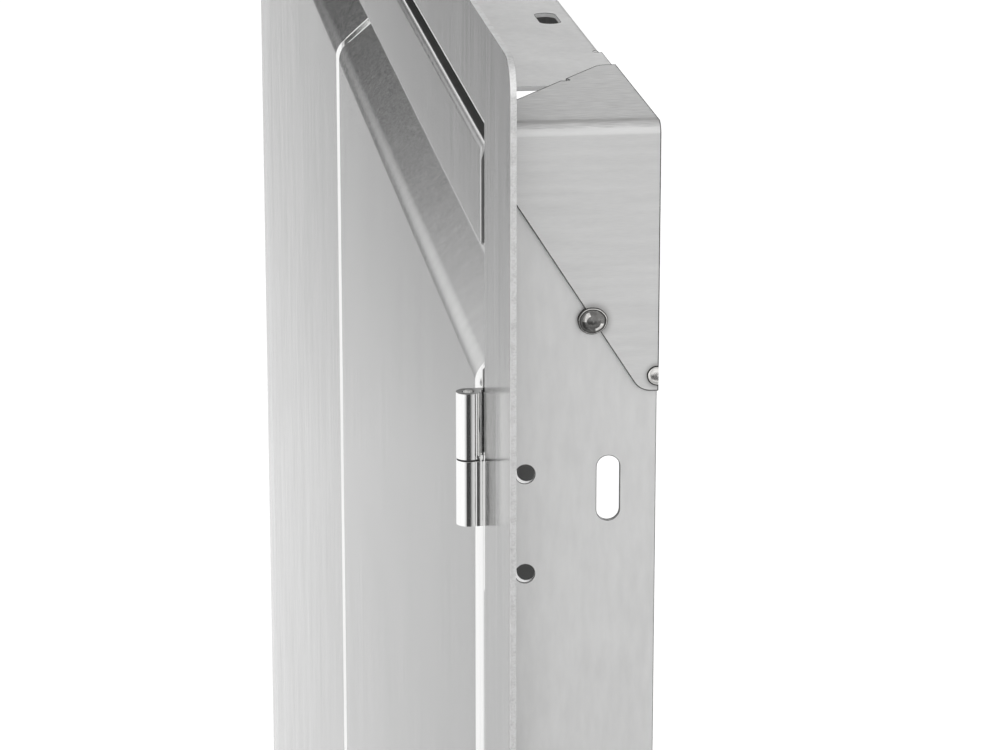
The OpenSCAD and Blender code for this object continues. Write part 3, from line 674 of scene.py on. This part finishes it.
def handle_pan(hand, side):
    """One handle plate in two meshes: its turned back rim, and its face with the hem below."""
    loops = []
    arc = [math.radians(90 * s / 8) for s in range(9)]
    steps = [(1 - math.sin(a), pan_face + pan_r * (1 - math.cos(a)),
              pan_face + pan_top_r * (1 - math.cos(a))) for a in arc]
    web_start = pan_face + 4 * mm
    steps += [(0, web_start, web_start), (0, recess_back, recess_back)]
    for inset, end_depth, top_depth in steps:
        left, right = meeting_edge + pan_r * inset, hinge_edge - pan_r * inset
        top = door_top - pan_top_r * inset
        ends = [(pan_bottom + hem + (top - pan_bottom - hem) * i / 6, end_depth) for i in range(6)]
        loop = [(side * left, depth, z) for z, depth in ends]
        loop += [(side * (left + (right - left) * i / 12), top_depth, top) for i in range(13)]
        loop += [(side * right, depth, z) for z, depth in reversed(ends)]
        loops.append(loop)
    rim = sheet_metal("handle_rim_" + hand, loops, pan_t, hand + "_leaf", ["handle_pan_" + hand])
    left, right, top = meeting_edge + pan_r, hinge_edge - pan_r, door_top - pan_top_r
    across = [left + (right - left) * i / 12 for i in range(13)]
    heights = [top - (top - pan_bottom - hem) * k / 4 for k in range(5)]
    rows = [[(side * x, pan_face, z) for x in across] for z in heights]
    for s in range(1, 9):
        a = math.radians(180 * s / 8)
        rows.append([(side * x, pan_face + hem * (1 - math.cos(a)), pan_bottom + hem - hem * math.sin(a))
                     for x in across])
    rows.append([(side * x, pan_face + 2 * hem, pan_bottom + 8 * mm) for x in across])
    plate = sheet_metal("handle_plate_" + hand, rows, pan_t, hand + "_leaf", [])
    for piece in (rim, plate):
        piece.data.materials.append(door_grain)
        piece.data.materials.append(cut_edge)


for hand, side in (("right", 1), ("left", -1)):
    handle_pan(hand, side)

# Hinges
# Lift-off barrel hinges of polished stainless steel. Each leaf is a 2 mm strip rolled round the
# pin; the lower knuckle with the pin is on the frame and the upper one is on the door.
polished = grained_steel("polished hinge steel", 0.94, 0.10, (1, 1, 0.02), 0.06, cloud=0.02, fine=900)
sawn_end = grained_steel("sawn end of a knuckle", 0.3, 0.4, (1, 0.3, 1), 0.8,
                         cloud=0.1, fine=1300, streak=0.4)
leaf_low, leaf_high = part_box("frame_hinge_leaf_top_right")
barrel_r, strip, joint_gap = 3.15 * mm, 2.0 * mm, 0.3 * mm
pin_x, pin_y = leaf_high.x - barrel_r, leaf_low.y + barrel_r
joint_z = (leaf_low.z + 2 * leaf_high.z) / 3


def knuckle_section():
    """The section of the frame's knuckle with its web, as (across, back) steps from the pin's centre."""
    inner, web_end = barrel_r - strip, 3.95 * mm
    points = [(inner, web_end), (inner, 1.11 * mm)]
    for step in range(33):
        a = math.radians(44 - 334 * step / 32)
        points.append((1.6 * mm * math.cos(a), 1.6 * mm * math.sin(a)))
    for step in range(49):
        a = math.radians(73 + 314 * step / 48)
        points.append((barrel_r * math.cos(a), barrel_r * math.sin(a)))
    points += [(2.60 * mm, 1.52 * mm), (2.60 * mm, 1.62 * mm), (2.84 * mm, 1.78 * mm)]
    for step in range(7):
        back = 2.0 * mm * step / 6
        points.append((2.90 * mm - 80 * back * back, 1.95 * mm + back))
    return points


def plate_section(low, high):
    """The leaf's plate seen from the side, as (back, up) steps with round rear corners."""
    front, back, corner = 3.9 * mm, leaf_high.y - pin_y, 2.0 * mm
    points = [(front, low)]
    for turn, centre in ((-90, low + corner), (0, high - corner)):
        for step in range(7):
            a = math.radians(turn + 15 * step)
            points.append((back - corner + corner * math.cos(a), centre + corner * math.sin(a)))
    points.append((front, high))
    return points


def frame_leaf(up, hand):
    """The frame's leaf: its plate beside the opening and the lower knuckle with its web."""
    side, rise = (1 if hand == "right" else -1), (1 if up == "top" else -1)
    joint = rise * joint_z
    length = leaf_high.z - joint_z
    corners, faces = [], []

    def prism(near, far):
        count, first = len(near), len(corners)
        corners.extend(near)
        corners.extend(far)
        for i in range(count):
            k = (i + 1) % count
            faces.append((first + i, first + k, first + count + k, first + count + i))
        faces.append(tuple(reversed(range(first, first + count))))
        faces.append(tuple(range(first + count, first + 2 * count)))

    section = [(side * (pin_x + x), pin_y + y) for x, y in knuckle_section()]
    prism([(x, y, joint - length) for x, y in section],
          [(x, y, joint - joint_gap) for x, y in section])
    plate = plate_section(joint - 2 * length, joint + length)
    prism([(side * (pin_x + barrel_r - strip), pin_y + y, z) for y, z in plate],
          [(side * (pin_x + barrel_r), pin_y + y, z) for y, z in plate])
    mesh = bpy.data.meshes.new("frame_leaf_%s_%s" % (up, hand))
    mesh.from_pydata(corners, [], faces)
    mesh.validate()
    mesh.update()
    shape = bmesh.new()
    shape.from_mesh(mesh)
    bmesh.ops.recalc_face_normals(shape, faces=shape.faces)
    shape.to_mesh(mesh)
    shape.free()
    piece = bpy.data.objects.new("frame_leaf_%s_%s" % (up, hand), mesh)
    bpy.context.scene.collection.objects.link(piece)
    soften(piece, 0.12 * mm, 40)
    mesh.materials.append(polished)
    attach(piece, "frame")
    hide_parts("frame_hinge_leaf_%s_%s" % (up, hand))


for hand in ("right", "left"):
    for up in ("top", "bottom"):
        frame_leaf(up, hand)
        leaf = dress("door_hinge_leaf_%s_%s" % (up, hand), polished, 0.15 * mm, 40)
        leaf.data.materials.append(sawn_end)
        for face in leaf.data.polygons:
            if abs(face.normal.z) > 0.9:
                face.material_index = 1

pin_steel = grained_steel("pin and screw steel", 0.6, 0.24, (1, 1, 1), 0.2, cloud=0.06, fine=1500)
for node in ("hinge_pins_right", "hinge_pins_left", "frame_hinge_screws",
             "door_hinge_screws_right", "door_hinge_screws_left"):
    dress(node, pin_steel, 0.1 * mm)
# The washers take the near-black finish, which darkens the joint between the knuckles as painted shade.
dress("hinge_washers", painted_shade, 0.05 * mm)

# Door stiffeners and the sheet brackets in the middle
# Hat sections behind each face, the catch bracket under the top wall and the stop bracket on
# the bottom wall, all folded from plain sheet. Two screws hold each bracket.
folded_sheet = grained_steel("folded plain sheet", 0.8, 0.45, (1, 1, 0.25), 0.1, cloud=0.03, fine=420)
for node in ("door_stiffener_right", "door_stiffener_left", "catch_bracket", "stop_bracket"):
    dress(node, folded_sheet)
dress("bracket_screws", pin_steel, 0.1 * mm)

# Catch, strikers and buffers
# The catch's magnets and their pole plates sit in brown moulded housings on the upper bracket and
# pull on a striker riveted to each door. The doors rest on black rubber domes on the stop bracket.


def moulded(name, colour, rough, scale, depth):
    """A moulded plastic or rubber with a fine uneven skin."""
    material, surface, add, link = shader(name)
    place = add("ShaderNodeTexCoord").outputs["Object"]
    fine = add("ShaderNodeTexNoise", {"Vector": place, "Scale": scale, "Detail": 4})
    tint = add("ShaderNodeMix", {0: fine.outputs["Fac"], 6: (*[c * 0.8 for c in colour], 1),
                                 7: (*[c * 1.2 for c in colour], 1)}, data_type="RGBA")
    link(tint.outputs[2], surface.inputs["Base Color"])
    relief = add("ShaderNodeBump", {"Height": fine.outputs["Fac"], "Strength": depth,
                                    "Distance": 0.0001})
    link(relief.outputs[0], surface.inputs["Normal"])
    surface.inputs["Roughness"].default_value = rough
    return material


for node in ("striker_right", "striker_left", "striker_rivets_right", "striker_rivets_left",
             "catch_pole_plates"):
    dress(node, pin_steel, 0.1 * mm)
dress("catch_magnets", moulded("moulded housing", (0.05, 0.035, 0.025), 0.5, 1200, 0.3))
dress("rubber_buffers", moulded("black rubber", (0.02, 0.02, 0.02), 0.7, 900, 0.4))

# Studio
# A pale floor under the frame and white all round, with cards that only the metal shows: a large
# soft light in front of the doors, a black flag behind the camera and a dim corner to the far left.
floor_mesh = bpy.data.meshes.new("floor")
reach = 6.0
ground = solid_low.z - 0.0002
floor_mesh.from_pydata([(-reach, -reach, ground), (reach, -reach, ground), (reach, reach, ground),
                        (-reach, reach, ground)], [], [(0, 1, 2, 3)])
floor = bpy.data.objects.new("floor", floor_mesh)
bpy.context.scene.collection.objects.link(floor)


def pale_floor():
    """White to the camera where no shadow falls, and pale grey in the light that it gives back."""
    material, surface, add, link = shader("pale floor")
    path = add("ShaderNodeLightPath")
    white = add("ShaderNodeEmission", {"Color": (1, 1, 1, 1), "Strength": 0.82})
    matt = add("ShaderNodeBsdfDiffuse", {"Color": (0.3, 0.3, 0.3, 1)})
    seen = add("ShaderNodeAddShader", {0: white.outputs[0], 1: matt.outputs[0]})
    surface.inputs["Base Color"].default_value = (0.62, 0.62, 0.62, 1)
    surface.inputs["Roughness"].default_value = 0.8
    pick = add("ShaderNodeMixShader", {0: path.outputs["Is Camera Ray"], 1: surface.outputs[0],
                                       2: seen.outputs[0]})
    link(pick.outputs[0], material.node_tree.nodes["Material Output"].inputs["Surface"])
    return material


floor_mesh.materials.append(pale_floor())
floor.visible_glossy = False

world = bpy.data.worlds.new("studio")
bpy.context.scene.world = world
world.use_nodes = True
world.cycles.sampling_method = "NONE"
around = world.node_tree.nodes["Background"]
path = world.node_tree.nodes.new("ShaderNodeLightPath")
seen = world.node_tree.nodes.new("ShaderNodeMath")
seen.operation = "MAXIMUM"
world.node_tree.links.new(path.outputs["Is Camera Ray"], seen.inputs[0])
world.node_tree.links.new(path.outputs["Is Glossy Ray"], seen.inputs[1])
either = world.node_tree.nodes.new("ShaderNodeMath")
either.operation = "MAXIMUM"
world.node_tree.links.new(seen.outputs[0], either.inputs[0])
world.node_tree.links.new(path.outputs["Is Transmission Ray"], either.inputs[1])
white = world.node_tree.nodes.new("ShaderNodeMapRange")
white.inputs["To Min"].default_value = 0.85
white.inputs["To Max"].default_value = 1.0
world.node_tree.links.new(either.outputs[0], white.inputs["Value"])
world.node_tree.links.new(white.outputs[0], around.inputs["Strength"])
around.inputs["Color"].default_value = (1, 1, 1, 1)


def card(name, left, right, low, high, level, distance=12.0):
    """A curved card of even brightness: its sides are turned from +X towards the front, in degrees."""
    across, up = 24, 12
    corners = []
    for i in range(up + 1):
        rise = math.radians(low + (high - low) * i / up)
        for j in range(across + 1):
            turn = math.radians(left + (right - left) * j / across)
            out = distance * math.cos(rise)
            corners.append((out * math.cos(turn), -out * math.sin(turn), distance * math.sin(rise)))
    faces = []
    for i in range(up):
        for j in range(across):
            k = i * (across + 1) + j
            faces.append((k, k + 1, k + across + 2, k + across + 1))
    mesh = bpy.data.meshes.new(name)
    mesh.from_pydata(corners, [], faces)
    mesh.update()
    sheet = bpy.data.objects.new(name, mesh)
    bpy.context.scene.collection.objects.link(sheet)
    material, _, add, link = shader(name)
    glow = add("ShaderNodeEmission", {"Color": (1, 1, 1, 1), "Strength": level})
    link(glow.outputs[0], material.node_tree.nodes["Material Output"].inputs["Surface"])
    mesh.materials.append(material)
    sheet.visible_camera = False
    sheet.visible_diffuse = False
    sheet.visible_shadow = False
    return add, link, glow


card("soft_light_in_front", 40, 157, -30, 60, 1.05)
card("side_of_the_soft_light", 29, 40, -30, 60, 0.85)
card("edge_of_the_soft_light", 20, 29, -30, 60, 0.5)
card("floor_in_front", 20, 157, -70, -30, 0.55)
card("flag_behind_camera", -22, 20, -26, -8, 0.05)
card("grey_card_to_the_right", -60, -22, -32, -8, 0.6)
card("dark_floor_at_the_near_end", -70, 20, -80, -38, 0.45)
card("dim_wall_far_side", 183, 245, 2, 30, 0.17)
card("dark_roof_far_side", 183, 245, 30, 80, 0.15)
card("bright_roof_near_side", -40, 40, 38, 80, 0.7)
card("black_cloth_behind", 187, 206, -50, -3, 0.0)
card("grey_ceiling", 0, 360, 60, 90, 0.6, 13.0)


def dim_corner():
    """A card behind the far left end that fades from a dark spot to white at its sides.

    The spot lies 171 degrees round from +X and 6 degrees up. Below -16.2 degrees nothing changes,
    and past 175.4 degrees the card gets almost twice as bright."""
    add, link, glow = card("dim_corner_far_left", 146, 183, -58, 72, 1.0, 11.0)
    place = add("ShaderNodeTexCoord").outputs["Object"]
    way = add("ShaderNodeVectorMath", {0: place}, operation="NORMALIZE")
    parts = add("ShaderNodeSeparateXYZ", {0: way.outputs[0]})
    front = add("ShaderNodeMath", {0: parts.outputs["Y"], 1: -1.0}, operation="MULTIPLY")
    turn = add("ShaderNodeMath", {0: front.outputs[0], 1: parts.outputs["X"]}, operation="ARCTAN2")
    rise = add("ShaderNodeMath", {0: parts.outputs["Z"]}, operation="ARCSINE")

    def fade(source, middle, below, above, power):
        """0 at the middle and 1 at a given number of degrees below and above it."""
        low = add("ShaderNodeMapRange", {"Value": source.outputs[0], "From Min": math.radians(middle),
                                         "From Max": math.radians(middle - below)}, clamp=False)
        high = add("ShaderNodeMapRange", {"Value": source.outputs[0], "From Min": math.radians(middle),
                                          "From Max": math.radians(middle + above)}, clamp=False)
        far = add("ShaderNodeMath", {0: low.outputs[0], 1: high.outputs[0]}, operation="MAXIMUM")
        return add("ShaderNodeMath", {0: far.outputs[0], 1: power}, operation="POWER").outputs[0]

    across = fade(turn, middle=171.0, below=5.5, above=5.5, power=3.0)
    capped = add("ShaderNodeMath", {0: rise.outputs[0], 1: math.radians(-16.2)}, operation="MAXIMUM")
    upward = fade(capped, middle=6.0, below=25.0, above=7.0, power=4.0)
    both = add("ShaderNodeMath", {0: across, 1: upward}, operation="ADD")
    fall = add("ShaderNodeMath", {0: both.outputs[0], 1: -1.0}, operation="MULTIPLY")
    dark = add("ShaderNodeMath", {0: fall.outputs[0]}, operation="EXPONENT")
    light = add("ShaderNodeMapRange", {"Value": dark.outputs[0], "To Min": 1.0, "To Max": 0.0})
    lift = add("ShaderNodeMapRange", {"Value": turn.outputs[0], "From Min": math.radians(175.4),
                                      "From Max": math.radians(178.5), "To Min": 1.0, "To Max": 1.9})
    level = add("ShaderNodeMath", {0: light.outputs[0], 1: lift.outputs[0]}, operation="MULTIPLY")
    link(level.outputs[0], glow.inputs["Strength"])


dim_corner()

# Camera
# It stands almost 1.5 m from the middle of the doors, beyond their right end and above them,
# and looks almost along the wall.
camera_data = bpy.data.cameras.new("camera")
camera = bpy.data.objects.new("camera", camera_data)
bpy.context.scene.collection.objects.link(camera)
camera.location = (1.3747, -0.1098, 0.5229)
camera.rotation_euler = (math.radians(74.40), 0, math.radians(83.04))
camera_data.lens = 135.65
camera_data.sensor_width = 36
camera_data.clip_start = 0.05
bpy.context.scene.camera = camera
bpy.context.scene.view_settings.view_transform = "Standard"
